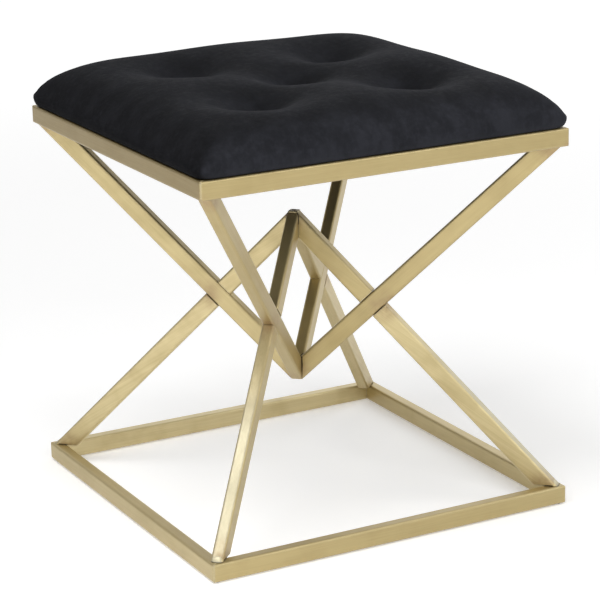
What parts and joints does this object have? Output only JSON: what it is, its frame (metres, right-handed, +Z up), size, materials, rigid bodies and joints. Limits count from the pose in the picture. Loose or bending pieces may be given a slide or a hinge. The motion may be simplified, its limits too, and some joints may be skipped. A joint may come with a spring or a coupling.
{
  "type": "x frame stool",
  "caption": "Square stool with a tufted velvet cushion on a brushed gold tube frame that crosses as an upright and an upturned pyramid.",
  "frame": {"origin": "centre of the footprint, on the floor", "axes": "+Z up, -Y towards the front side, +X to the right of someone facing the front"},
  "size_m": [0.414, 0.414, 0.453],
  "materials": {
    "gold_metal": "satin",
    "velvet": "matte",
    "foam": "matte",
    "plywood": "matte",
    "black_cloth": "matte",
    "nylon": "satin",
    "zinc_steel": "satin",
    "twine": "matte"
  },
  "bodies": {
    "root": {"base_rail_front": "gold_metal", "base_rail_right": "gold_metal", "base_rail_back": "gold_metal", "base_rail_left": "gold_metal", "seat_rail_front": "gold_metal", "seat_rail_right": "gold_metal", "seat_rail_back": "gold_metal", "seat_rail_left": "gold_metal", "upper_leg_front_left": "gold_metal", "upper_leg_front_right": "gold_metal", "upper_leg_back_right": "gold_metal", "upper_leg_back_left": "gold_metal", "lower_leg_front_left": "gold_metal", "lower_leg_front_right": "gold_metal", "lower_leg_back_right": "gold_metal", "lower_leg_back_left": "gold_metal", "apex_strut_front_left": "gold_metal", "apex_strut_front_right": "gold_metal", "apex_strut_back_right": "gold_metal", "apex_strut_back_left": "gold_metal", "seat_tab_front": "gold_metal", "seat_tab_right": "gold_metal", "seat_tab_back": "gold_metal", "seat_tab_left": "gold_metal", "floor_glide_front_left": "nylon", "floor_glide_front_right": "nylon", "floor_glide_back_right": "nylon", "floor_glide_back_left": "nylon", "seat_screw_front": "zinc_steel", "seat_screw_right": "zinc_steel", "seat_screw_back": "zinc_steel", "seat_screw_left": "zinc_steel", "seat_board": "plywood", "foam_pad": "foam", "seat_cover": "velvet", "dust_cover": "black_cloth", "tuft_washer_middle": "zinc_steel", "tuft_washer_front_left": "zinc_steel", "tuft_washer_front_right": "zinc_steel", "tuft_washer_back_right": "zinc_steel", "tuft_washer_back_left": "zinc_steel", "tuft_twine_middle": "twine", "tuft_twine_front_left": "twine", "tuft_twine_front_right": "twine", "tuft_twine_back_right": "twine", "tuft_twine_back_left": "twine"}
  },
  "joints": []
}
